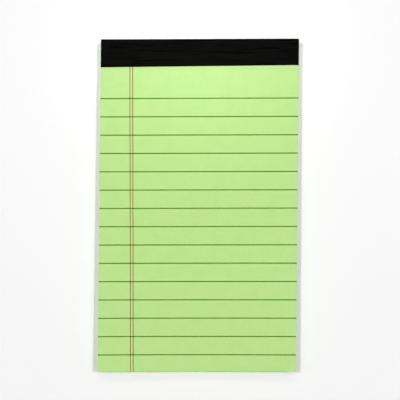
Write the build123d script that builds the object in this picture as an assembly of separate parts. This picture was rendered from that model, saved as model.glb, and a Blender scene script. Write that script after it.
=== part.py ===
from build123d import *
import os

# Tear-off memo pad, in millimetres. It lies on its back with its head towards +Y and its left side
# at -X. The origin is under the middle of its outline, on the surface that it lies on.

# Trimmed outline
PAD_WIDTH = 75.7
SHEET_HEIGHT = 127.0
SIDE_LEAN = 1.55  # the side cuts are out of square: their head is this far to the right of their foot
WORN_CORNER = 0.45  # radius of the rubbed right corner of the head

# Sheets
SHEET_COUNT = 50
SHEET_THICKNESS = 0.084
SHEET_AIR = 0.008  # air on each loose sheet, where the stapled stub is pressed tight
RISE_LENGTH = 16.0  # from the stub, how far the sheets take to come up to their loose height
FOOT_LIFT = 0.3  # how much higher again the loose foot is, in its middle
FOOT_CUP = 0.8  # how much the foot's corners curl up above its middle

# Perforation, along which a sheet tears off
PERFORATION_FROM_HEAD = 11.3
PERFORATION_CUT = 0.9
PERFORATION_TIE = 0.5
PERFORATION_WIDTH = 0.1
PERFORATION_LAND = 0.3  # flat stub left below the cuts, before the sheets rise

# Back board
BOARD_THICKNESS = 0.7

# Binding tape
TAPE_THICKNESS = 0.2
TAPE_FOLD_RADIUS = 0.5  # inside, round the crushed edges of the head
FRONT_FLAP_LEFT = 10.8  # the front flap was laid a little askew
FRONT_FLAP_RIGHT = 10.2
BACK_FLAP = 12.0

# Flat-wire staples
WIRE_WIDTH = 0.6
WIRE_THICKNESS = 0.45
WIRE_EDGE = 0.1  # taken off each corner of its section
WIRE_CLEARANCE = 0.03  # on every side
STAPLE_CROWN = 12.0
STAPLE_BEND_RADIUS = 0.6
STAPLE_CLINCH = 3.5
STAPLE_FROM_HEAD = 5.0
STAPLE_SPACING = 34.0

# Print on the top sheet
PRINT_DEPTH = 0.05
RULE_PITCH = 7.0
FIRST_RULE_FROM_HEAD = 22.6
LAST_RULE_TO_FOOT = 6.0  # at least
RULE_WIDTH = 0.4
MARGIN_FROM_LEFT = 11.85  # to the first margin line, halfway down the side
MARGIN_SPACING = 1.03
MARGIN_WIDTH = 0.3

# Heights, from the surface up
BOARD_BOTTOM = TAPE_THICKNESS
BOARD_TOP = BOARD_BOTTOM + BOARD_THICKNESS
STUB_TOP = BOARD_TOP + SHEET_COUNT * SHEET_THICKNESS
LOOSE_TOP = STUB_TOP + SHEET_COUNT * SHEET_AIR
CLEAR_ABOVE = 2 * (LOOSE_TOP + FOOT_LIFT + FOOT_CUP)

# Places along and across the pad
FOOT = -(SHEET_HEIGHT + TAPE_THICKNESS) / 2
HEAD = FOOT + SHEET_HEIGHT
FOLD = HEAD + TAPE_THICKNESS
PERFORATION = HEAD - PERFORATION_FROM_HEAD
FREE_START = PERFORATION - PERFORATION_WIDTH / 2 - PERFORATION_LAND
UNTRIMMED_WIDTH = PAD_WIDTH + 2 * SIDE_LEAN


def slab(x_low, x_high, y_low, y_high, z_low, z_high):
    """A box between these planes."""
    size = Box(x_high - x_low, y_high - y_low, z_high - z_low)
    return Pos((x_low + x_high) / 2, (y_low + y_high) / 2, (z_low + z_high) / 2) * size


def full_width(y_low, y_high, z_low, z_high):
    """A box as wide as the pad before its sides are cut."""
    return slab(-UNTRIMMED_WIDTH / 2, UNTRIMMED_WIDTH / 2, y_low, y_high, z_low, z_high)


def trimming():
    """All that the cutter leaves: two leaning sides, the foot, and the head with its worn corner."""
    half = PAD_WIDTH / 2
    lean = SIDE_LEAN / 2
    corners = [(-half - lean, FOOT), (half - lean, FOOT), (half + lean, FOLD), (-half + lean, FOLD)]
    outline = make_face(Polyline(corners, close=True))
    worn = outline.vertices().sort_by(Axis.X)[-1]
    return extrude(fillet(worn, WORN_CORNER), CLEAR_ABOVE, both=True)


def bent_wire(section):
    """Wire of this section bent to a staple: crown flush with the stub, ends turned in under the board."""
    crown = STUB_TOP - WIRE_THICKNESS / 2
    clinch = BOARD_BOTTOM + WIRE_THICKNESS / 2
    leg = (STAPLE_CROWN - WIRE_THICKNESS) / 2
    tip = leg - STAPLE_CLINCH
    bends = [(-tip, clinch), (-leg, clinch), (-leg, crown), (leg, crown), (leg, clinch), (tip, clinch)]
    path = Plane.XZ * FilletPolyline(*bends, radius=STAPLE_BEND_RADIUS)
    return sweep(Plane(origin=path @ 0, x_dir=(0, 1, 0), z_dir=path % 0) * section, path)


def staple():
    return bent_wire(chamfer(Rectangle(WIRE_WIDTH, WIRE_THICKNESS).vertices(), WIRE_EDGE))


def staple_bed():
    """The space that a staple has pressed into the sheets and the board."""
    return bent_wire(Rectangle(WIRE_WIDTH + 2 * WIRE_CLEARANCE, WIRE_THICKNESS + 2 * WIRE_CLEARANCE))


def staple_places():
    y = HEAD - STAPLE_FROM_HEAD
    return {"left": Pos(-STAPLE_SPACING / 2, y, 0), "right": Pos(STAPLE_SPACING / 2, y, 0)}


def staple_beds():
    bed = staple_bed()
    return [place * bed for place in staple_places().values()]


def sheet_section(y):
    """The loose sheets cut across the pad: flat where they lie on the board, and cupped on top."""
    below = FREE_START - y
    share = below / (FREE_START - FOOT)
    rise = min(below / RISE_LENGTH, 1)
    middle = STUB_TOP + (LOOSE_TOP - STUB_TOP) * rise * (2 - rise) + FOOT_LIFT * share**2
    half = UNTRIMMED_WIDTH / 2
    cup = FOOT_CUP * (share * UNTRIMMED_WIDTH / PAD_WIDTH) ** 2
    top = Bezier((-half, middle + cup), (0, middle - cup), (half, middle + cup))
    rest = Polyline((half, middle + cup), (half, BOARD_TOP), (-half, BOARD_TOP), (-half, middle + cup))
    return Plane(origin=(0, y, 0), x_dir=(1, 0, 0), z_dir=(0, -1, 0)) * make_face([top, rest])


def loose_sheets():
    """The sheets below the perforation, which stand a little off each other and curl at the foot."""
    length = FREE_START - FOOT
    below = [0, RISE_LENGTH / 2, RISE_LENGTH, length / 3, 2 * length / 3, length]
    return loft([sheet_section(FREE_START - far) for far in sorted(below)])


def stub():
    """The pressed head of the sheets, with its top edge crushed round under the tape."""
    pressed = full_width(FREE_START, HEAD, BOARD_TOP, STUB_TOP)
    edge = pressed.edges().filter_by(Axis.X).group_by(Axis.Z)[-1].sort_by(Axis.Y)[-1]
    return fillet(edge, TAPE_FOLD_RADIUS)


def perforation():
    """One row of cuts through all the sheets."""
    pitch = PERFORATION_CUT + PERFORATION_TIE
    count = int((PAD_WIDTH - PERFORATION_TIE) / pitch)
    cut = Box(PERFORATION_CUT, PERFORATION_WIDTH, 2 * CLEAR_ABOVE)
    return [Pos(0, PERFORATION, 0) * place * cut for place in GridLocations(pitch, 0, count, 1)]


def rule_slabs():
    """The ruled lines, standing up from the board through the sheets."""
    length = SHEET_HEIGHT - FIRST_RULE_FROM_HEAD - LAST_RULE_TO_FOOT
    count = int(length / RULE_PITCH) + 1
    middles = [HEAD - FIRST_RULE_FROM_HEAD - number * RULE_PITCH for number in range(count)]
    half = RULE_WIDTH / 2
    return [full_width(y - half, y + half, BOARD_TOP, CLEAR_ABOVE) for y in middles]


def margin_slabs():
    """The two margin lines in the same way, from the foot to where the tape turns over the head."""
    first = MARGIN_FROM_LEFT - PAD_WIDTH / 2
    half = MARGIN_WIDTH / 2
    end = HEAD - TAPE_FOLD_RADIUS
    middles = (first, first + MARGIN_SPACING)
    return [slab(x - half, x + half, FOOT, end, BOARD_TOP, CLEAR_ABOVE) for x in middles]


def printed_sheets():
    """The block of sheets, and the print let into its top sheet."""
    untrimmed = stub() + loose_sheets()
    block = untrimmed & trimming()
    under_print = Pos(0, 0, -PRINT_DEPTH) * untrimmed
    rules = Compound(rule_slabs())
    all_print = rules + margin_slabs() - under_print
    cuts = perforation()
    rule_ink = (rules - under_print) & block
    margin_ink = (all_print & block) - rule_slabs() - cuts
    return block - all_print - cuts - staple_beds(), rule_ink, margin_ink


def back_board():
    """Chipboard as large as the sheets, with its lower edge crushed round under the tape."""
    board = full_width(FOOT, HEAD, BOARD_BOTTOM, BOARD_TOP)
    edge = board.edges().filter_by(Axis.X).group_by(Axis.Z)[0].sort_by(Axis.Y)[-1]
    return (fillet(edge, TAPE_FOLD_RADIUS) - staple_beds()) & trimming()


def binding_tape():
    """Tape folded over the head in one strip: front flap, spine and back flap."""
    flaps = (FRONT_FLAP_LEFT, FRONT_FLAP_RIGHT)
    askew = (FRONT_FLAP_LEFT - FRONT_FLAP_RIGHT) / 2 * UNTRIMMED_WIDTH / PAD_WIDTH
    left = FOLD - sum(flaps) / 2 - askew
    right = FOLD - sum(flaps) / 2 + askew
    half = UNTRIMMED_WIDTH / 2
    back = FOLD - BACK_FLAP
    turns = [(left, STUB_TOP), (HEAD, STUB_TOP), (HEAD, BOARD_BOTTOM), (back, BOARD_BOTTOM)]
    inside = FilletPolyline(*turns, radius=TAPE_FOLD_RADIUS)
    section = make_face(offset(inside, TAPE_THICKNESS, side=Side.LEFT, closed=True).edges())
    strip = extrude(Plane.YZ * section, half, both=True)
    cut_off = make_face(Polyline((-half, left), (half, left), (half, right), close=True))
    spare = extrude(Pos(0, 0, STUB_TOP) * cut_off, 2 * TAPE_THICKNESS)
    return (strip - spare) & trimming()


os.makedirs("parts", exist_ok=True)
page_block, ruled_lines, margin_lines = printed_sheets()
parts = {
    "page_block": page_block,
    "ruled_lines": ruled_lines,
    "margin_lines": margin_lines,
    "back_board": back_board(),
    "binding_tape": binding_tape(),
}
for side, place in staple_places().items():
    parts[f"staple_{side}"] = place * staple()
for node, shape in parts.items():
    export_step(shape, f"parts/{node}.step")
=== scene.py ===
import math

import bpy
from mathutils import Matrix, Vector

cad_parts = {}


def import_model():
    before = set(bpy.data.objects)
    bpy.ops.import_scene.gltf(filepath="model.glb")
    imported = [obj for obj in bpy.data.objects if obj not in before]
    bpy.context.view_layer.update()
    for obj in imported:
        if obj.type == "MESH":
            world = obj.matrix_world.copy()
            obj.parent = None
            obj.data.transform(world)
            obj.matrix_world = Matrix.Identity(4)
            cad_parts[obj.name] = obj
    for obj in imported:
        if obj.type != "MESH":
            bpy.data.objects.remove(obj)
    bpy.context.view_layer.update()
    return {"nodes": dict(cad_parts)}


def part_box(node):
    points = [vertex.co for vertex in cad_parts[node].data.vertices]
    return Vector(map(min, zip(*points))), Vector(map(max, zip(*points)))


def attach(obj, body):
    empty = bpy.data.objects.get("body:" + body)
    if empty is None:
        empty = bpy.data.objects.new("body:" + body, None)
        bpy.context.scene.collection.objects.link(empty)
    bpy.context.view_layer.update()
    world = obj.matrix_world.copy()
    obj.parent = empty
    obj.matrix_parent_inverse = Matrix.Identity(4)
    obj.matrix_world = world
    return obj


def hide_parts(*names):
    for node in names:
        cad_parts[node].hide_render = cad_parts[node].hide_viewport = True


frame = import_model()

# Tear-off memo pad, in metres, with its head towards +Y and its left side at -X. The CAD parts give
# its places, and the sizes below repeat those that a box can't give.

MM = 0.001
PAGE_LOW, PAGE_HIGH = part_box("page_block")
TAPE_LOW, TAPE_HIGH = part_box("binding_tape")
BOARD_LOW, BOARD_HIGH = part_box("back_board")
MERGED = 0.0001 * MM  # points nearer than this are one
SHARP_EDGE = math.radians(40)  # edges that turn more than this stay sharp

# Outline
FOOT = PAGE_LOW.y
HEAD = PAGE_HIGH.y
FOLD = TAPE_HIGH.y
SIDE_LEAN = 1.55 * MM  # the side cuts are out of square: their head is this far right of their foot
LEAN = SIDE_LEAN / (FOLD - FOOT)
HALF_WIDTH = -PAGE_LOW.x - SIDE_LEAN / 2
WORN_CORNER = 0.45 * MM  # radius of the rubbed right corner of the head

# Heights
BOARD_BOTTOM = BOARD_LOW.z
BOARD_TOP = BOARD_HIGH.z
TAPE_THICKNESS = FOLD - HEAD
STUB_TOP = TAPE_HIGH.z - TAPE_THICKNESS
LOOSE_AIR = 0.4 * MM  # all the air between the loose sheets
RISE_LENGTH = 16 * MM  # from the stub, how far the sheets take to come up to their loose height
FOOT_LIFT = 0.3 * MM  # how much higher again the loose foot is, in its middle
FOOT_CUP = 0.8 * MM  # how much the foot's corners curl up above its middle

# Sheets
SHEETS = 50
TOP_SHEETS = 4  # these are finely divided, with their perforation cut
SHEET_PITCH = (STUB_TOP - BOARD_TOP) / SHEETS
PRESSED_GAP = 0.002 * MM  # left between pressed sheets, so that each has its own faces
SHEET_THICKNESS = SHEET_PITCH - PRESSED_GAP
GAP_POWER = 5.0  # this power of chance makes a few wide gaps between loose sheets, and many narrow ones
SHIFT_POWER = 3.0  # and this one puts a few sheets out of line, and most hardly at all

# Perforation
PERFORATION = HEAD - 11.3 * MM
CUT_LENGTH = 0.9 * MM
CUT_WIDTH = 0.06 * MM
CUT_PITCH = 1.4 * MM
CUTS = 53
FREE_START = PERFORATION - 0.35 * MM  # below a flat land, the sheets start to rise

# Faces of a sheet from its foot: loose rows, the land, the row with the cuts, and the stub
BODY_ROWS = 34
CUT_ROW = BODY_ROWS + 1
STUB_ROWS = 4
CLOSE = 0.25  # of a face, within which a row or a column is the one looked for

# Print
RULES = 15
FIRST_RULE = HEAD - 22.6 * MM
RULE_PITCH = 7 * MM
RULE_WIDTH = 0.44 * MM  # the 0.4 mm line, and the ink that has spread at its edges
MARGINS = 2
FIRST_MARGIN = 11.85 * MM - HALF_WIDTH
MARGIN_SPACING = 1.03 * MM
MARGIN_WIDTH = 0.3 * MM
INK_FILM = 0.022 * MM
INK_PROUD = 0.012 * MM
OVERPRINT = 0.003 * MM  # how much higher the margin lines lie, which are printed over the rules
FIBRE_LENGTH = 0.35 * MM  # the fibres of the paper make the edges of the lines wander over this length

# Tape
FOLD_RADIUS = 0.5 * MM
FRONT_FLAP_LEFT = 10.8 * MM  # the front flap was laid a little askew
FRONT_FLAP_RIGHT = 10.2 * MM
CORNER_COVER = 0.012 * MM  # how far its outer face passes the board's worn corner
RIB_STRETCH = 20  # how many times longer than wide the ribs of its embossing are
CREASE_SLOPE = math.radians(-0.4)  # the long creases aren't quite square to the sides
CREASES_PER_MM = (0.02, 0.45, 1.0)  # few across the pad, because they are long, and more along it
CREASE_LEVEL = 0.42  # a crease lies where a noise is at this level
CREASE_BAND = 0.02  # and ends where the noise is this far off it


def add(tree, kind, inputs=(), **settings):
    """Adds a node with these settings. Its inputs, by name or in order, are values, sockets or nodes."""
    node = tree.nodes.new(kind)
    for name, value in settings.items():
        setattr(node, name, value)
    shown = [socket for socket in node.inputs if socket.enabled]
    pairs = inputs.items() if isinstance(inputs, dict) else enumerate(inputs)
    for name, value in pairs:
        socket = shown[name] if isinstance(name, int) else next(s for s in shown if s.name == name)
        if isinstance(value, bpy.types.Node):
            value = first_output(value)
        if isinstance(value, bpy.types.NodeSocket):
            tree.links.new(value, socket)
        else:
            socket.default_value = value
    return node


def first_output(node):
    """The first of the outputs that a node shows with its settings."""
    return next(socket for socket in node.outputs if socket.enabled)


def linear(code):
    """An sRGB hex colour as linear red, green, blue and alpha."""
    values = [int(code[place:place + 2], 16) / 255 for place in (0, 2, 4)]
    return [v / 12.92 if v <= 0.04045 else ((v + 0.055) / 1.055) ** 2.4 for v in values] + [1.0]


# Geometry Nodes

def new_tree(name, sizes, outputs=("Geometry",)):
    """A Geometry Nodes tree with these named inputs, and the sockets that bring them in."""
    tree = bpy.data.node_groups.new(name, "GeometryNodeTree")
    kinds = {int: "NodeSocketInt", float: "NodeSocketFloat", bool: "NodeSocketBool",
             tuple: "NodeSocketVector"}
    for label in outputs:
        kind = "NodeSocketGeometry" if label == "Geometry" else "NodeSocketFloat"
        tree.interface.new_socket(label, in_out="OUTPUT", socket_type=kind)
    for label, value in sizes.items():
        socket = tree.interface.new_socket(label, in_out="INPUT", socket_type=kinds[type(value)])
        socket.default_value = value
    if "Geometry" in outputs:
        tree.interface.new_socket("Material", in_out="INPUT", socket_type="NodeSocketMaterial")
    return tree, add(tree, "NodeGroupInput").outputs


def finish_tree(tree, geometry):
    """Ends a tree: real geometry, smooth but for its sharp edges, in the material that it is given."""
    real = add(tree, "GeometryNodeRealizeInstances", [geometry])
    angle = add(tree, "GeometryNodeInputMeshEdgeAngle")
    soft = add(tree, "ShaderNodeMath", [angle, SHARP_EDGE], operation="LESS_THAN")
    smooth = add(tree, "GeometryNodeSetShadeSmooth", {"Geometry": real, "Shade Smooth": soft}, domain="EDGE")
    given = next(n for n in tree.nodes if n.bl_idname == "NodeGroupInput").outputs
    painted = add(tree, "GeometryNodeSetMaterial", {"Geometry": smooth, "Material": given["Material"]})
    add(tree, "NodeGroupOutput", [painted])


def grow(name, tree, nodes, slot, **sizes):
    """Runs the tree with these sizes, and keeps the result as a plain piece in place of the CAD nodes."""
    piece = bpy.data.objects.new(name, bpy.data.meshes.new(name))
    bpy.context.scene.collection.objects.link(piece)
    modifier = piece.modifiers.new(name, "NODES")
    modifier.node_group = tree
    for socket in tree.interface.items_tree:
        label = socket.name.replace(" ", "_").lower()
        if socket.in_out == "INPUT" and label in sizes:
            modifier[socket.identifier] = sizes[label]
    evaluated = piece.evaluated_get(bpy.context.evaluated_depsgraph_get())
    mesh = bpy.data.meshes.new_from_object(evaluated)
    piece.modifiers.remove(modifier)
    piece.data = mesh
    mesh.name = name
    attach(piece, "root")
    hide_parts(*nodes)


def held_back(tree, geometry, limit):
    """The geometry with none of its points further up the pad than this limit."""
    here = add(tree, "ShaderNodeSeparateXYZ", [add(tree, "GeometryNodeInputPosition")]).outputs
    y = add(tree, "ShaderNodeMath", [here["Y"], limit], operation="MINIMUM")
    place = add(tree, "ShaderNodeCombineXYZ", [here["X"], y, here["Z"]])
    return add(tree, "GeometryNodeSetPosition", {"Geometry": geometry, "Position": place})


def joined(tree, first, second):
    """Two faces of a piece as one closed mesh."""
    both = add(tree, "GeometryNodeJoinGeometry")
    for part in (first, second):
        tree.links.new(first_output(part), both.inputs[0])
    return add(tree, "GeometryNodeMergeByDistance", {"Geometry": both, "Distance": MERGED})


def thickened(tree, surface, thickness):
    """Closes a surface that faces up into a slab of this thickness above it."""
    up = add(tree, "ShaderNodeCombineXYZ", [0.0, 0.0, thickness])
    raised = add(tree, "GeometryNodeExtrudeMesh", {"Mesh": surface, "Offset": up, "Offset Scale": 1.0,
                                                   "Individual": False}, mode="FACES")
    return joined(tree, raised, add(tree, "GeometryNodeFlipFaces", [surface]))


def round_reach(tree, value, start, radius):
    """How far a round of this radius still reaches where the value has gone past the start of the round."""
    past = add(tree, "ShaderNodeMath", [value, start], operation="SUBTRACT")
    over = add(tree, "ShaderNodeMath", [past, 0.0], operation="MAXIMUM")
    squared = add(tree, "ShaderNodeMath", [over, over], operation="MULTIPLY")
    left = add(tree, "ShaderNodeMath", [radius ** 2, squared], operation="SUBTRACT")
    whole = add(tree, "ShaderNodeMath", [left, 0.0], operation="MAXIMUM")
    return add(tree, "ShaderNodeMath", [whole], operation="SQRT")


def air_over_sheets():
    """The height that the air between the loose sheets adds at any place of the page."""
    tree, _ = new_tree("air_over_sheets", {}, ("Air", "Share"))
    here = add(tree, "ShaderNodeSeparateXYZ", [add(tree, "GeometryNodeInputPosition")]).outputs
    past = add(tree, "ShaderNodeMath", [FREE_START, here["Y"]], operation="SUBTRACT")
    below = add(tree, "ShaderNodeMath", [past, 0.0], operation="MAXIMUM")
    share = add(tree, "ShaderNodeMath", [below, FREE_START - FOOT], operation="DIVIDE")
    rise = add(tree, "ShaderNodeMath", [below, RISE_LENGTH], operation="DIVIDE", use_clamp=True)
    ease = add(tree, "ShaderNodeMath", [2.0, rise], operation="SUBTRACT")
    risen = add(tree, "ShaderNodeMath", [rise, ease], operation="MULTIPLY")
    across = add(tree, "ShaderNodeMath", [here["X"], HALF_WIDTH], operation="DIVIDE")
    bowl = add(tree, "ShaderNodeMath", [across, across], operation="MULTIPLY")
    cup = add(tree, "ShaderNodeMath", [bowl, FOOT_CUP, FOOT_LIFT], operation="MULTIPLY_ADD")
    growing = add(tree, "ShaderNodeMath", [share, share], operation="MULTIPLY")
    curl = add(tree, "ShaderNodeMath", [growing, cup], operation="MULTIPLY")
    air = add(tree, "ShaderNodeMath", [risen, LOOSE_AIR, curl], operation="MULTIPLY_ADD")
    add(tree, "NodeGroupOutput", [air, share])
    return tree


def worn_corner():
    """How far up the pad anything reaches at each place across it, where its right head corner is worn."""
    tree, _ = new_tree("worn_corner", {}, ("Limit",))
    here = add(tree, "ShaderNodeSeparateXYZ", [add(tree, "GeometryNodeInputPosition")]).outputs
    start = HALF_WIDTH + SIDE_LEAN / 2 - WORN_CORNER
    reach = round_reach(tree, here["X"], start, WORN_CORNER)
    limit = add(tree, "ShaderNodeMath", [reach, FOLD - WORN_CORNER - TAPE_THICKNESS], operation="ADD")
    add(tree, "NodeGroupOutput", [limit])
    return tree


# Sheets

def column_place(tree, given, here, column):
    """A column's place across the page: evenly spread, or at the ends of the perforation's cuts."""
    even = add(tree, "ShaderNodeMath", [here["X"], 2 * HALF_WIDTH], operation="MULTIPLY")

    # Columns 1 and 2 are at the ends of the first cut, 3 and 4 at those of the second, and so on
    pair = add(tree, "ShaderNodeMath", [column, 0.5, 0.25], operation="MULTIPLY_ADD")
    number = add(tree, "ShaderNodeMath", [pair], operation="ROUND")
    half_turns = add(tree, "ShaderNodeMath", [column, math.pi], operation="MULTIPLY")
    side = add(tree, "ShaderNodeMath", [half_turns], operation="COSINE")
    middle = add(tree, "ShaderNodeMath", [number, CUT_PITCH, -CUT_PITCH * (CUTS + 1) / 2],
                 operation="MULTIPLY_ADD")
    at_cut = add(tree, "ShaderNodeMath", [side, CUT_LENGTH / 2, middle], operation="MULTIPLY_ADD")

    # The outermost columns, half the grid away from its middle, stay at the sides of the sheet
    away = add(tree, "ShaderNodeMath", [here["X"]], operation="ABSOLUTE")
    outer = add(tree, "ShaderNodeMath", [away, 0.499], operation="GREATER_THAN")
    whole = add(tree, "ShaderNodeMath", [1.0, given["Perforated"]], operation="SUBTRACT")
    spread = add(tree, "ShaderNodeMath", [outer, whole], operation="MAXIMUM")
    return add(tree, "GeometryNodeSwitch", {"Switch": spread, "False": at_cut, "True": even},
               input_type="FLOAT")


def row_place(tree, row):
    """A row's place along the page, from the foot to the land, at the cuts, and on the stub."""
    low_edge = PERFORATION - CUT_WIDTH / 2
    high_edge = PERFORATION + CUT_WIDTH / 2
    loose = add(tree, "ShaderNodeMath", [row, (FREE_START - FOOT) / BODY_ROWS, FOOT],
                operation="MULTIPLY_ADD")
    below = add(tree, "ShaderNodeMath", [loose, low_edge], operation="MINIMUM")
    pitch = (HEAD - high_edge) / STUB_ROWS
    above = add(tree, "ShaderNodeMath", [row, pitch, high_edge - pitch * (CUT_ROW + 1)],
                operation="MULTIPLY_ADD")
    in_stub = add(tree, "ShaderNodeMath", [row, CUT_ROW + 0.5], operation="GREATER_THAN")
    return add(tree, "GeometryNodeSwitch", {"Switch": in_stub, "False": below, "True": above},
               input_type="FLOAT")


def flat_sheet(tree, given, here):
    """One sheet as a flat grid at its place, without the faces where its perforation is cut."""
    rows = CUT_ROW + 1 + STUB_ROWS
    lines = add(tree, "ShaderNodeMath", [given["Columns"], 1.0], operation="ADD")
    grid = add(tree, "GeometryNodeMeshGrid", {"Size X": 1.0, "Size Y": 1.0, "Vertices X": lines,
                                              "Vertices Y": rows + 1})
    from_left = add(tree, "ShaderNodeMath", [here["X"], 0.5], operation="ADD")
    from_foot = add(tree, "ShaderNodeMath", [here["Y"], 0.5], operation="ADD")
    column = add(tree, "ShaderNodeMath", [from_left, given["Columns"]], operation="MULTIPLY")
    row = add(tree, "ShaderNodeMath", [from_foot, float(rows)], operation="MULTIPLY")
    in_row = add(tree, "ShaderNodeMath", [row, CUT_ROW + 0.5, CLOSE], operation="COMPARE")
    odd = add(tree, "ShaderNodeMath", [column, 2.0], operation="FLOORED_MODULO")
    in_cut = add(tree, "ShaderNodeMath", [odd, 1.5, CLOSE], operation="COMPARE")
    cut = add(tree, "ShaderNodeMath", [in_row, in_cut], operation="MULTIPLY")
    wanted = add(tree, "ShaderNodeMath", [cut, given["Perforated"]], operation="MULTIPLY")
    sheet = add(tree, "GeometryNodeDeleteGeometry", {"Geometry": grid, "Selection": wanted}, domain="FACE",
                mode="ONLY_FACE")
    x = column_place(tree, given, here, column)
    y = row_place(tree, row)
    place = add(tree, "ShaderNodeCombineXYZ", [x, y, 0.0])
    return add(tree, "GeometryNodeSetPosition", {"Geometry": sheet, "Position": place})


def sheet_points(tree, given):
    """One point for each sheet, with its number and the share of all the air that lies under it."""
    points = add(tree, "GeometryNodeMeshLine", {"Count": SHEETS, "Offset": (0.0, 0.0, 0.0)})
    index = add(tree, "GeometryNodeInputIndex")
    chance = add(tree, "FunctionNodeRandomValue", {"ID": index, "Seed": given["Seed"]}, data_type="FLOAT")
    gap = add(tree, "ShaderNodeMath", [chance, GAP_POWER], operation="POWER")
    gaps = add(tree, "GeometryNodeAccumulateField", {"Value": gap}, data_type="FLOAT", domain="POINT")
    leading, _, total = [socket for socket in gaps.outputs if socket.enabled]
    under = add(tree, "ShaderNodeMath", [leading, total], operation="DIVIDE")
    for label, value in (("sheet", index), ("air_under", under)):
        points = add(tree, "GeometryNodeStoreNamedAttribute", {"Geometry": points, "Name": label,
                                                               "Value": value},
                     data_type="FLOAT", domain="POINT")
    too_low = add(tree, "ShaderNodeMath", [index, given["First"]], operation="LESS_THAN")
    after = add(tree, "ShaderNodeMath", [index, 1.0], operation="ADD")
    too_high = add(tree, "ShaderNodeMath", [given["Last"], after], operation="LESS_THAN")
    outside = add(tree, "ShaderNodeMath", [too_low, too_high], operation="MAXIMUM")
    return add(tree, "GeometryNodeDeleteGeometry", {"Geometry": points, "Selection": outside},
               domain="POINT")


def out_of_line(tree, given, label, seed_step, number, freedom):
    """How far each sheet stands out of line one way at its loose foot."""
    seed = add(tree, "ShaderNodeMath", [given["Seed"], seed_step], operation="ADD")
    swing = add(tree, "FunctionNodeRandomValue", {"Min": (-1.0,) * 3, "Max": (1.0,) * 3, "ID": number,
                                                  "Seed": seed}, data_type="FLOAT_VECTOR")
    one = add(tree, "ShaderNodeSeparateXYZ", [swing])
    sharp = add(tree, "ShaderNodeMath", [one.outputs["X"], SHIFT_POWER], operation="POWER")
    scaled = add(tree, "ShaderNodeMath", [sharp, given[label]], operation="MULTIPLY")
    return add(tree, "ShaderNodeMath", [scaled, freedom], operation="MULTIPLY")


def crushed_head(tree, sheets, here, worn):
    """The sheets with their head edge crushed round under the fold of the tape, and worn at its corner."""
    reach = round_reach(tree, here["Z"], STUB_TOP - FOLD_RADIUS, FOLD_RADIUS)
    edge = add(tree, "ShaderNodeMath", [reach, HEAD - FOLD_RADIUS], operation="ADD")
    limit = add(tree, "GeometryNodeGroup", node_tree=worn)
    return held_back(tree, sheets, add(tree, "ShaderNodeMath", [edge, limit], operation="MINIMUM"))


def sheet_tree(air, worn):
    """A pile of sheets: pressed tight at the stub, and with uneven air between them further down."""
    sizes = {"First": 0, "Last": SHEETS, "Columns": 12, "Perforated": False, "Seed": 3,
             "Side Shift": 0.16 * MM, "Foot Shift": 0.12 * MM}
    tree, given = new_tree("pile_of_sheets", sizes)

    # Each step reads the place of its own points
    here = add(tree, "ShaderNodeSeparateXYZ", [add(tree, "GeometryNodeInputPosition")]).outputs
    copies = add(tree, "GeometryNodeInstanceOnPoints", {"Points": sheet_points(tree, given),
                                                        "Instance": flat_sheet(tree, given, here)})
    pile = add(tree, "GeometryNodeRealizeInstances", [copies])

    # Each sheet leans with the side cuts, and all but the top one are a little out of line at the foot
    number = add(tree, "GeometryNodeInputNamedAttribute", {"Name": "sheet"}, data_type="FLOAT")
    air_here = add(tree, "GeometryNodeGroup", node_tree=air)
    covered = add(tree, "ShaderNodeMath", [number, SHEETS - 1.5], operation="LESS_THAN")
    freedom = add(tree, "ShaderNodeMath", [air_here.outputs["Share"], covered], operation="MULTIPLY")
    aside = out_of_line(tree, given, "Side Shift", 11.0, number, freedom)
    along = out_of_line(tree, given, "Foot Shift", 23.0, number, freedom)
    leaning = add(tree, "ShaderNodeMath", [here["Y"], LEAN, aside], operation="MULTIPLY_ADD")
    offset = add(tree, "ShaderNodeCombineXYZ", [leaning, along, 0.0])
    in_place = add(tree, "GeometryNodeSetPosition", {"Geometry": pile, "Offset": offset})

    # Under each sheet are those below it, and its share of the air
    own_share = add(tree, "GeometryNodeInputNamedAttribute", {"Name": "air_under"}, data_type="FLOAT")
    pressed = add(tree, "ShaderNodeMath", [number, SHEET_PITCH, BOARD_TOP + PRESSED_GAP],
                  operation="MULTIPLY_ADD")
    height = add(tree, "ShaderNodeMath", [air_here.outputs["Air"], own_share, pressed],
                 operation="MULTIPLY_ADD")
    up = add(tree, "ShaderNodeCombineXYZ", [0.0, 0.0, height])
    risen = add(tree, "GeometryNodeSetPosition", {"Geometry": in_place, "Offset": up})
    closed = thickened(tree, risen, SHEET_THICKNESS)
    finish_tree(tree, crushed_head(tree, closed, here, worn))
    return tree


# Print

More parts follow.
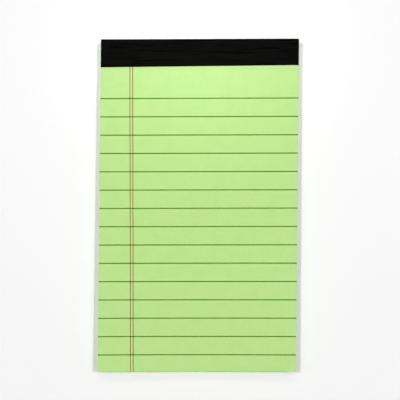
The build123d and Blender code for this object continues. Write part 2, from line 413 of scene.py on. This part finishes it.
def line_tree(air):
    """Printed lines that lie on the top sheet, with the slightly uneven edge of ink on uncoated paper."""
    sizes = {"Lines": RULES, "Start": (0.0, FIRST_RULE, 0.0), "Step": (0.0, -RULE_PITCH, 0.0),
             "Length": 2 * HALF_WIDTH, "Width": RULE_WIDTH, "Turn": 0.0, "Lean": SIDE_LEAN,
             "Cells": 300, "Unevenness": 0.02 * MM, "Proud": INK_PROUD}
    tree, given = new_tree("printed_lines", sizes)
    here = add(tree, "ShaderNodeSeparateXYZ", [add(tree, "GeometryNodeInputPosition")]).outputs
    cuts = add(tree, "ShaderNodeMath", [given["Cells"], 1.0], operation="ADD")
    strip = add(tree, "GeometryNodeMeshGrid", {"Size X": given["Length"], "Size Y": given["Width"],
                                               "Vertices X": cuts, "Vertices Y": 3})
    points = add(tree, "GeometryNodeMeshLine", {"Count": given["Lines"], "Start Location": given["Start"],
                                                "Offset": given["Step"]})
    turn = add(tree, "ShaderNodeCombineXYZ", [0.0, 0.0, given["Turn"]])
    copies = add(tree, "GeometryNodeInstanceOnPoints", {"Points": points, "Instance": strip,
                                                        "Rotation": turn})
    lines = add(tree, "GeometryNodeRealizeInstances", [copies])

    # The edges wander across the line, which runs across the page or, once turned, down it
    fibres = add(tree, "ShaderNodeTexNoise", {"Scale": 1 / FIBRE_LENGTH, "Detail": 3.0},
                 noise_dimensions="3D")
    centred = add(tree, "ShaderNodeVectorMath", [fibres.outputs["Color"], (0.5, 0.5, 0.5)],
                  operation="SUBTRACT")
    swing = add(tree, "ShaderNodeMath", [given["Unevenness"], 2.0], operation="MULTIPLY")
    wander = add(tree, "ShaderNodeVectorMath", {0: centred, "Scale": swing}, operation="SCALE")
    drift = add(tree, "ShaderNodeSeparateXYZ", [wander]).outputs
    turned = add(tree, "ShaderNodeMath", [given["Turn"]], operation="SINE")
    straight = add(tree, "ShaderNodeMath", [1.0, turned], operation="SUBTRACT")
    sideways = add(tree, "ShaderNodeMath", [drift["X"], turned], operation="MULTIPLY")
    lengthways = add(tree, "ShaderNodeMath", [drift["Y"], straight], operation="MULTIPLY")
    slope = add(tree, "ShaderNodeMath", [given["Lean"], 1 / (FOLD - FOOT)], operation="MULTIPLY")
    leaning = add(tree, "ShaderNodeMath", [here["Y"], slope, sideways], operation="MULTIPLY_ADD")
    offset = add(tree, "ShaderNodeCombineXYZ", [leaning, lengthways, 0.0])
    uneven = add(tree, "GeometryNodeSetPosition", {"Geometry": lines, "Offset": offset})

    air_here = add(tree, "GeometryNodeGroup", node_tree=air)
    proud = add(tree, "ShaderNodeMath", [given["Proud"], STUB_TOP - INK_FILM], operation="ADD")
    height = add(tree, "ShaderNodeMath", [air_here.outputs["Air"], proud], operation="ADD")
    up = add(tree, "ShaderNodeCombineXYZ", [0.0, 0.0, height])
    laid = add(tree, "GeometryNodeSetPosition", {"Geometry": uneven, "Offset": up})
    finish_tree(tree, thickened(tree, laid, INK_FILM))
    return tree


# Tape

def fold_path(tree):
    """The fold in section: along the stub, round the head and back along the board."""
    start = FOLD - max(FRONT_FLAP_LEFT, FRONT_FLAP_RIGHT)
    corners = {"Point 1": (0.0, start, STUB_TOP), "Point 2": (0.0, HEAD, STUB_TOP),
               "Point 3": (0.0, HEAD, BOARD_BOTTOM), "Point 4": (0.0, TAPE_LOW.y, BOARD_BOTTOM)}
    loop = add(tree, "GeometryNodeCurvePrimitiveQuadrilateral", mode="POINTS")
    for label, corner in corners.items():
        loop.inputs[label].default_value = corner
    path = add(tree, "GeometryNodeSetSplineCyclic", {"Geometry": loop, "Cyclic": False})
    return add(tree, "GeometryNodeFilletCurve", {"Curve": path, "Radius": FOLD_RADIUS, "Count": 12},
               mode="POLY")


def laid_strip(tree, given, here, fold):
    """A grid, closer at the sides, laid along the fold from the askew edge of the front flap to the back
    flap's. Each point keeps which way is out, and how far along the fold it lies."""
    columns = add(tree, "ShaderNodeMath", [given["Columns"], 1.0], operation="ADD")
    rows = add(tree, "ShaderNodeMath", [given["Rows"], 1.0], operation="ADD")
    strip = add(tree, "GeometryNodeMeshGrid", {"Size X": 1.0, "Size Y": 1.0, "Vertices X": columns,
                                               "Vertices Y": rows})
    angle = add(tree, "ShaderNodeMath", [here["X"], math.pi], operation="MULTIPLY")
    sine = add(tree, "ShaderNodeMath", [angle], operation="SINE")
    across = add(tree, "ShaderNodeMath", [sine, HALF_WIDTH], operation="MULTIPLY")
    along = add(tree, "ShaderNodeMath", [here["Y"], 0.5], operation="ADD")
    askew = (FRONT_FLAP_LEFT - FRONT_FLAP_RIGHT) / 2
    skipped = add(tree, "ShaderNodeMath", [sine, askew, askew], operation="MULTIPLY_ADD")
    length = add(tree, "GeometryNodeCurveLength", [fold])
    rest = add(tree, "ShaderNodeMath", [length, skipped], operation="SUBTRACT")
    run = add(tree, "ShaderNodeMath", [along, rest, skipped], operation="MULTIPLY_ADD")
    on_fold = add(tree, "GeometryNodeSampleCurve", {"Curves": fold, "Length": run}, mode="LENGTH",
                  use_all_curves=True)
    out = add(tree, "ShaderNodeVectorMath", [(1.0, 0.0, 0.0), on_fold.outputs["Tangent"]],
              operation="CROSS_PRODUCT")
    for label, value, kind in (("out", out, "FLOAT_VECTOR"), ("run", run, "FLOAT")):
        strip = add(tree, "GeometryNodeStoreNamedAttribute", {"Geometry": strip, "Name": label,
                                                              "Value": value},
                    data_type=kind, domain="POINT")
    spot = add(tree, "ShaderNodeSeparateXYZ", [on_fold.outputs["Position"]]).outputs
    leaning = add(tree, "ShaderNodeMath", [spot["Y"], LEAN, across], operation="MULTIPLY_ADD")
    place = add(tree, "ShaderNodeCombineXYZ", [leaning, spot["Y"], spot["Z"]])
    return add(tree, "GeometryNodeSetPosition", {"Geometry": strip, "Position": place})


def tape_relief(tree, given, here):
    """How far the outer face stands off its plain place: fine ribs and a few long creases, all inwards."""
    run = add(tree, "GeometryNodeInputNamedAttribute", {"Name": "run"}, data_type="FLOAT")
    unrolled = add(tree, "ShaderNodeCombineXYZ", [here["X"], run, 0.0])
    stretched = add(tree, "ShaderNodeVectorMath", [unrolled, (1 / RIB_STRETCH, 1.0, 1.0)],
                    operation="MULTIPLY")
    per_metre = add(tree, "ShaderNodeMath", [1.0, given["Rib Pitch"]], operation="DIVIDE")
    ribs = add(tree, "ShaderNodeTexNoise", {"Vector": stretched, "Detail": 2.0, "Scale": per_metre})
    inwards = add(tree, "ShaderNodeMath", [ribs, 1.0], operation="SUBTRACT")
    rib = add(tree, "ShaderNodeMath", [inwards, given["Rib Height"]], operation="MULTIPLY")

    # A crease is a narrow band round one level of a noise that is drawn out across the pad
    sloping = add(tree, "ShaderNodeVectorRotate", {"Vector": unrolled, "Angle": CREASE_SLOPE},
                  rotation_type="Z_AXIS")
    drawn = add(tree, "ShaderNodeVectorMath", [sloping, CREASES_PER_MM], operation="MULTIPLY")
    folds = add(tree, "ShaderNodeTexNoise", {"Vector": drawn, "Detail": 1.0, "Scale": 1 / MM})
    over_level = add(tree, "ShaderNodeMath", [folds, CREASE_LEVEL], operation="SUBTRACT")
    off_level = add(tree, "ShaderNodeMath", [over_level], operation="ABSOLUTE")
    crease = add(tree, "ShaderNodeMapRange", {"Value": off_level, "From Min": 0.0,
                                              "From Max": CREASE_BAND, "To Min": -1.0, "To Max": 0.0})
    return add(tree, "ShaderNodeMath", [crease, given["Crease Depth"], rib], operation="MULTIPLY_ADD")


def tape_tree(worn):
    """The binding tape: one strip laid along its fold, with an embossed and lightly creased outer face."""
    sizes = {"Columns": 150, "Rows": 230, "Rib Height": 0.02 * MM, "Rib Pitch": 0.42 * MM,
             "Crease Depth": 0.05 * MM}
    tree, given = new_tree("folded_tape", sizes)
    here = add(tree, "ShaderNodeSeparateXYZ", [add(tree, "GeometryNodeInputPosition")]).outputs
    laid = laid_strip(tree, given, here, fold_path(tree))
    out = add(tree, "GeometryNodeInputNamedAttribute", {"Name": "out"}, data_type="FLOAT_VECTOR")
    raised = add(tree, "GeometryNodeExtrudeMesh", {"Mesh": laid, "Offset": out,
                                                   "Offset Scale": TAPE_THICKNESS, "Individual": False},
                 mode="FACES")
    on_top = raised.outputs["Top"]
    pressed = add(tree, "ShaderNodeVectorMath", {"Vector": out, "Scale": tape_relief(tree, given, here)},
                  operation="SCALE")
    embossed = add(tree, "GeometryNodeSetPosition", {"Geometry": raised.outputs["Mesh"],
                                                     "Selection": on_top, "Offset": pressed})

    # Both faces are held back at the worn corner, the outer one just past the board's own corner
    inner_limit = add(tree, "GeometryNodeGroup", node_tree=worn)
    outer_limit = add(tree, "ShaderNodeMath", [on_top, TAPE_THICKNESS + CORNER_COVER, inner_limit],
                      operation="MULTIPLY_ADD")
    outer = held_back(tree, embossed, outer_limit)
    inner = held_back(tree, add(tree, "GeometryNodeFlipFaces", [laid]), inner_limit)
    finish_tree(tree, joined(tree, outer, inner))
    return tree


# Materials

def new_material(name, **values):
    """A material with one Principled shader, whose plain sockets take these values."""
    material = bpy.data.materials.new(name)
    material.use_nodes = True
    tree = material.node_tree
    tree.nodes.clear()
    sockets = {label.replace("_", " ").title().replace("Ior", "IOR"): value
               for label, value in values.items()}
    shader = add(tree, "ShaderNodeBsdfPrincipled", sockets)
    add(tree, "ShaderNodeOutputMaterial", {"Surface": shader})
    return material, tree, shader


def feed(tree, shader, **nodes):
    """Links these nodes to the shader's sockets of those names."""
    for label, node in nodes.items():
        tree.links.new(first_output(node), shader.inputs[label.replace("_", " ").title()])


def grain(tree, place, size, detail, stretch=(1.0, 1.0, 1.0)):
    """A pattern whose features are this many metres across, or that much longer where stretched."""
    squeezed = [1 / (size * by) for by in stretch]
    scaled = add(tree, "ShaderNodeVectorMath", [place, squeezed], operation="MULTIPLY")
    return add(tree, "ShaderNodeTexNoise", {"Vector": scaled, "Scale": 1.0, "Detail": detail})


def uncoated_paper():
    """Uncoated dyed writing paper: matt, a little cloudy where its fibres bunch, with a fine tooth. Its
    cut edges are less green, because the cutter opens the fibres, and each is a little darker or paler
    than the next, so that the sheets show."""
    material, tree, shader = new_material("uncoated_green_paper", roughness=0.9, specular_ior_level=0.25)
    place = add(tree, "ShaderNodeTexCoord").outputs["Object"]
    cloud = grain(tree, place, 5 * MM, 3.0)
    fibre = grain(tree, place, 0.22 * MM, 3.0, (1.5, 1.0, 1.0))
    clouded = add(tree, "ShaderNodeMix", {"Factor": cloud, "A": linear("BCE68D"), "B": linear("C6EC99")},
                  data_type="RGBA")
    fibrous = add(tree, "ShaderNodeMapRange", {"Value": fibre, "From Min": 0.3, "From Max": 0.7,
                                               "To Min": 0.965, "To Max": 1.035})
    face = add(tree, "ShaderNodeVectorMath", {"Vector": clouded, "Scale": fibrous}, operation="SCALE")
    sheet = add(tree, "ShaderNodeAttribute", attribute_name="sheet")
    own = add(tree, "ShaderNodeTexWhiteNoise", {"W": sheet.outputs["Fac"]}, noise_dimensions="1D")
    cut_edge = add(tree, "ShaderNodeMix", {"Factor": own, "A": linear("A9CC82"), "B": linear("D2EBAF")},
                   data_type="RGBA")
    facing = add(tree, "ShaderNodeSeparateXYZ", [add(tree, "ShaderNodeNewGeometry").outputs["Normal"]])
    upright = add(tree, "ShaderNodeMath", [facing.outputs["Z"]], operation="ABSOLUTE")
    on_edge = add(tree, "ShaderNodeMath", [upright, 0.5], operation="LESS_THAN")
    colour = add(tree, "ShaderNodeMix", {"Factor": on_edge, "A": face, "B": cut_edge}, data_type="RGBA")
    tooth = grain(tree, place, 0.12 * MM, 4.0)
    bump = add(tree, "ShaderNodeBump", {"Height": tooth, "Strength": 0.25, "Distance": 0.012 * MM})
    feed(tree, shader, base_color=colour, normal=bump)
    return material


def on_rules(tree, place):
    """1 where a place of the page lies on one of the rules, and 0 elsewhere."""
    y = add(tree, "ShaderNodeSeparateXYZ", [place]).outputs["Y"]
    past = add(tree, "ShaderNodeMath", [FIRST_RULE + RULE_PITCH / 2, y], operation="SUBTRACT")
    within = add(tree, "ShaderNodeMath", [past, RULE_PITCH], operation="FLOORED_MODULO")
    crossing = add(tree, "ShaderNodeMath", [within, RULE_PITCH / 2, RULE_WIDTH / 2], operation="COMPARE")
    below = add(tree, "ShaderNodeMath", [past, 0.0], operation="GREATER_THAN")
    return add(tree, "ShaderNodeMath", [crossing, below], operation="MULTIPLY")


def printed_ink(name, colour, thin, over_rules=None):
    """Offset ink on uncoated paper: dull, drawn into the fibres, so the line is mottled and a little pale
    where fibres stand through it. Where it is printed over the rules it takes its darker colour."""
    material, tree, shader = new_material(name, roughness=0.75, specular_ior_level=0.25)
    place = add(tree, "ShaderNodeTexCoord").outputs["Object"]
    fibre = grain(tree, place, 0.12 * MM, 3.0, (2.0, 1.0, 1.0))
    through = add(tree, "ShaderNodeMapRange", {"Value": fibre, "From Min": 0.5, "From Max": 0.8})
    ink = add(tree, "ShaderNodeMix", {"Factor": through, "A": linear(colour), "B": linear(thin)},
              data_type="RGBA")
    if over_rules:
        ink = add(tree, "ShaderNodeMix", {"Factor": on_rules(tree, place), "A": ink,
                                          "B": linear(over_rules)}, data_type="RGBA")
    feed(tree, shader, base_color=ink)
    return material


def embossed_tape():
    """Black embossed binding paper: dull and nearly black. Its ribs and long creases run across the pad, and
    the creases are dark with painted shade; the coating between them is a trace greyer where it is rubbed."""
    material, tree, shader = new_material("embossed_binding_paper", roughness=0.55,
                                          specular_ior_level=0.012)
    place = add(tree, "ShaderNodeTexCoord").outputs["Object"]
    rubbed = grain(tree, place, 2.5 * MM, 3.0, (4.0, 0.8, 1.0))
    face = add(tree, "ShaderNodeMix", {"Factor": rubbed, "A": linear("040404"), "B": linear("0E0E0D")},
               data_type="RGBA")
    # Painted shade: long thin lines across the pad are darkened in the colour, as shade in creases would be
    sloping = add(tree, "ShaderNodeVectorRotate", {"Vector": place, "Angle": math.radians(-0.5)},
                  rotation_type="Z_AXIS")
    line = grain(tree, sloping, 0.55 * MM, 1.5, (26.0, 1.0, 1.0))
    crease = add(tree, "ShaderNodeMapRange", {"Value": line, "From Min": 0.44, "From Max": 0.34})
    painted_crease_shade = add(tree, "ShaderNodeMix", {"Factor": crease, "A": face, "B": linear("010101")},
                  data_type="RGBA")
    fine = grain(tree, place, 0.1 * MM, 3.0, (2.0, 1.0, 1.0))
    bump = add(tree, "ShaderNodeBump", {"Height": fine, "Strength": 0.4, "Distance": 0.02 * MM})
    feed(tree, shader, base_color=painted_crease_shade, normal=bump)
    return material


def chipboard():
    """Grey chipboard, pressed from waste paper: dull grey-brown, speckled with darker and paler fibres."""
    material, tree, shader = new_material("grey_chipboard", roughness=0.95, specular_ior_level=0.2)
    place = add(tree, "ShaderNodeTexCoord").outputs["Object"]
    pulp = grain(tree, place, 0.6 * MM, 4.0, (1.8, 1.0, 1.0))
    body = add(tree, "ShaderNodeMix", {"Factor": pulp, "A": linear("8C857A"), "B": linear("ABA498")},
               data_type="RGBA")
    bits = grain(tree, place, 0.35 * MM, 1.0, (3.0, 1.0, 1.0))
    dark = add(tree, "ShaderNodeMapRange", {"Value": bits, "From Min": 0.66, "From Max": 0.76})
    flecked = add(tree, "ShaderNodeMix", {"Factor": dark, "A": body, "B": linear("6E675C")},
                  data_type="RGBA")
    bump = add(tree, "ShaderNodeBump", {"Height": pulp, "Strength": 0.4, "Distance": 0.04 * MM})
    feed(tree, shader, base_color=flecked, normal=bump)
    return material


def staple_wire():
    """Galvanised staple wire: bright metal with fine drawing lines along it."""
    material, tree, shader = new_material("galvanised_wire", metallic=1.0, roughness=0.35)
    place = add(tree, "ShaderNodeTexCoord").outputs["Object"]
    drawn = grain(tree, place, 0.05 * MM, 2.0, (20.0, 1.0, 1.0))
    metal = add(tree, "ShaderNodeMix", {"Factor": drawn, "A": linear("AEB0B3"), "B": linear("D6D8DA")},
                data_type="RGBA")
    feed(tree, shader, base_color=metal)
    return material


def repaint(node, material):
    """Gives a CAD node this material."""
    for slot in frame["nodes"][node].material_slots:
        slot.material = material


# The pad

air = air_over_sheets()
worn = worn_corner()
paper = uncoated_paper()
sheets = sheet_tree(air, worn)
grow("sheets_below", sheets, ["page_block"], "paper_green", material=paper, last=SHEETS - TOP_SHEETS)
grow("top_sheets", sheets, ["page_block"], "paper_green", material=paper, first=SHEETS - TOP_SHEETS,
     columns=2 * CUTS + 1, perforated=True)
lines = line_tree(air)
grow("ruled_print", lines, ["ruled_lines"], "ink_green",
     material=printed_ink("dark_green_ink", "4E8600", "68A000"))
margin_ink = printed_ink("red_brown_ink", "945A0A", "A47E30", over_rules="343404")
margin_length = HEAD - FOLD_RADIUS - FOOT
grow("margin_print", lines, ["margin_lines"], "ink_brown", material=margin_ink, lines=MARGINS,
     start=(FIRST_MARGIN, FOOT + margin_length / 2, 0.0), step=(MARGIN_SPACING, 0.0, 0.0),
     length=margin_length, width=MARGIN_WIDTH, turn=math.pi / 2, lean=0.0, cells=500,
     proud=INK_PROUD + OVERPRINT)
grow("folded_tape", tape_tree(worn), ["binding_tape"], "tape_black", material=embossed_tape())
repaint("back_board", chipboard())
wire = staple_wire()
for side in ("left", "right"):
    repaint(f"staple_{side}", wire)


# Studio

PAGE_TOP = STUB_TOP + LOOSE_AIR
PICTURE_WIDTH = 400  # pixels
BACKDROP = 0.98  # strength of the white that the camera sees behind the table
FADE_START = 0.06  # from here to the end of the fade, the table turns to that white
FADE_END = 0.3
TABLE_GLOW = 0.06  # strength of a little light that the camera sees on the table


def floor():
    """A white table. Far from the pad it fades to the white of the backdrop, so that no horizon shows."""
    mesh = bpy.data.meshes.new("table_top")
    reach = 3.0
    corners = [(-reach, -reach, 0), (reach, -reach, 0), (reach, reach, 0), (-reach, reach, 0)]
    mesh.from_pydata(corners, [], [(0, 1, 2, 3)])
    table = bpy.data.objects.new("table_top", mesh)
    bpy.context.scene.collection.objects.link(table)
    material, tree, shader = new_material("white_table", roughness=0.9, specular_ior_level=0.1)
    shader.inputs["Base Color"].default_value = (0.95, 0.95, 0.95, 1.0)
    place = add(tree, "ShaderNodeTexCoord").outputs["Object"]
    away = add(tree, "ShaderNodeVectorMath", [place], operation="LENGTH")
    fade = add(tree, "ShaderNodeMapRange", {"Value": away.outputs["Value"], "From Min": FADE_START,
                                            "From Max": FADE_END}, interpolation_type="SMOOTHSTEP")
    seen = add(tree, "ShaderNodeLightPath").outputs["Is Camera Ray"]
    amount = add(tree, "ShaderNodeMath", [fade, seen], operation="MULTIPLY")
    white = add(tree, "ShaderNodeEmission", {"Strength": BACKDROP})
    glow = add(tree, "ShaderNodeMath", [seen, TABLE_GLOW], operation="MULTIPLY")
    lifted = add(tree, "ShaderNodeAddShader", [shader, add(tree, "ShaderNodeEmission", {"Strength": glow})])
    mix = add(tree, "ShaderNodeMixShader", [amount, lifted, white])
    output = next(n for n in tree.nodes if n.bl_idname == "ShaderNodeOutputMaterial")
    tree.links.new(mix.outputs[0], output.inputs["Surface"])
    mesh.materials.append(material)


def world(level):
    """Soft light of this level from all round, white where the camera, a gloss or a glass sees it."""
    backdrop = bpy.data.worlds.new("studio")
    backdrop.use_nodes = True
    tree = backdrop.node_tree
    tree.nodes.clear()
    path = add(tree, "ShaderNodeLightPath").outputs
    sight = add(tree, "ShaderNodeMath", [path["Is Camera Ray"], path["Is Glossy Ray"]], operation="MAXIMUM")
    seen = add(tree, "ShaderNodeMath", [sight, path["Is Transmission Ray"]], operation="MAXIMUM")
    light = add(tree, "ShaderNodeBackground", [(1.0, 1.0, 1.0, 1.0), level])
    white = add(tree, "ShaderNodeBackground", [(1.0, 1.0, 1.0, 1.0), BACKDROP])
    mix = add(tree, "ShaderNodeMixShader", [seen, light, white])
    add(tree, "ShaderNodeOutputWorld", {"Surface": mix})
    bpy.context.scene.world = backdrop


def lamp(name, to_right, to_head, level, spread):
    """A lamp far away, this many degrees to the right and to the head from straight above, that lights a
    surface facing it to this level. Its spread is how wide it looks."""
    light = bpy.data.lights.new(name, "SUN")
    light.energy = level * math.pi
    light.angle = math.radians(spread)
    holder = bpy.data.objects.new(name, light)
    holder.rotation_euler = (-math.radians(to_head), math.radians(to_right), 0.0)
    bpy.context.scene.collection.objects.link(holder)


def spot(name, place, aim, level, reach):
    """A soft spot that lights what it is aimed at to this level, fading to nothing at this reach."""
    light = bpy.data.lights.new(name, "SPOT")
    line = Vector(place) - Vector(aim)
    light.energy = level * 4 * math.pi ** 2 * line.length_squared
    light.spot_size = 2 * math.atan(reach / line.length)
    light.spot_blend = 1.0
    light.shadow_soft_size = 0.03
    holder = bpy.data.objects.new(name, light)
    holder.location = place
    holder.rotation_euler = line.to_track_quat("Z", "Y").to_euler()
    bpy.context.scene.collection.objects.link(holder)


def camera(above_page, middle, pixel, to_foot, to_left, roll):
    """Almost straight above this place of the page, which it shows with pixels of this size. Its head and
    its right side are a trace nearer, by these tilts in degrees."""
    data = bpy.data.cameras.new("camera")
    data.lens = data.sensor_width * above_page / (PICTURE_WIDTH * pixel)
    data.clip_start = 0.01
    holder = bpy.data.objects.new("camera", data)
    foot_tilt = math.radians(to_foot)
    left_tilt = math.radians(to_left)
    x = middle[0] + above_page * math.tan(left_tilt)
    y = middle[1] - above_page * math.tan(foot_tilt)
    holder.location = (x, y, above_page + PAGE_TOP)
    holder.rotation_euler = (foot_tilt, left_tilt, math.radians(roll))
    bpy.context.scene.collection.objects.link(holder)
    bpy.context.scene.camera = holder


floor()
world(level=0.08)
lamp("left_lamp", to_right=-20.0, to_head=12.0, level=0.31, spread=4.0)
lamp("right_lamp", to_right=22.0, to_head=12.0, level=0.285, spread=4.0)
lamp("left_softbox", to_right=-31.5, to_head=8.0, level=0.1, spread=24.0)
lamp("right_softbox", to_right=28.0, to_head=8.0, level=0.1, spread=18.0)
lamp("head_softbox", to_right=0.0, to_head=38.0, level=0.125, spread=14.0)
for side, name in ((-1, "left"), (1, "right")):
    stand = (side * 0.22, 0.16, 0.58)
    spot(f"{name}_head_spot", stand, aim=(0.0, 0.08, 0.0), level=0.038, reach=0.16)
    spot(f"{name}_page_spot", stand, aim=(0.0, 0.064, 0.0), level=0.135, reach=0.05)
camera(above_page=0.35, middle=(0.69 * MM, 1.95 * MM), pixel=0.3822 * MM, to_foot=-0.45, to_left=0.6,
       roll=-0.12)
bpy.context.scene.view_settings.view_transform = "Standard"
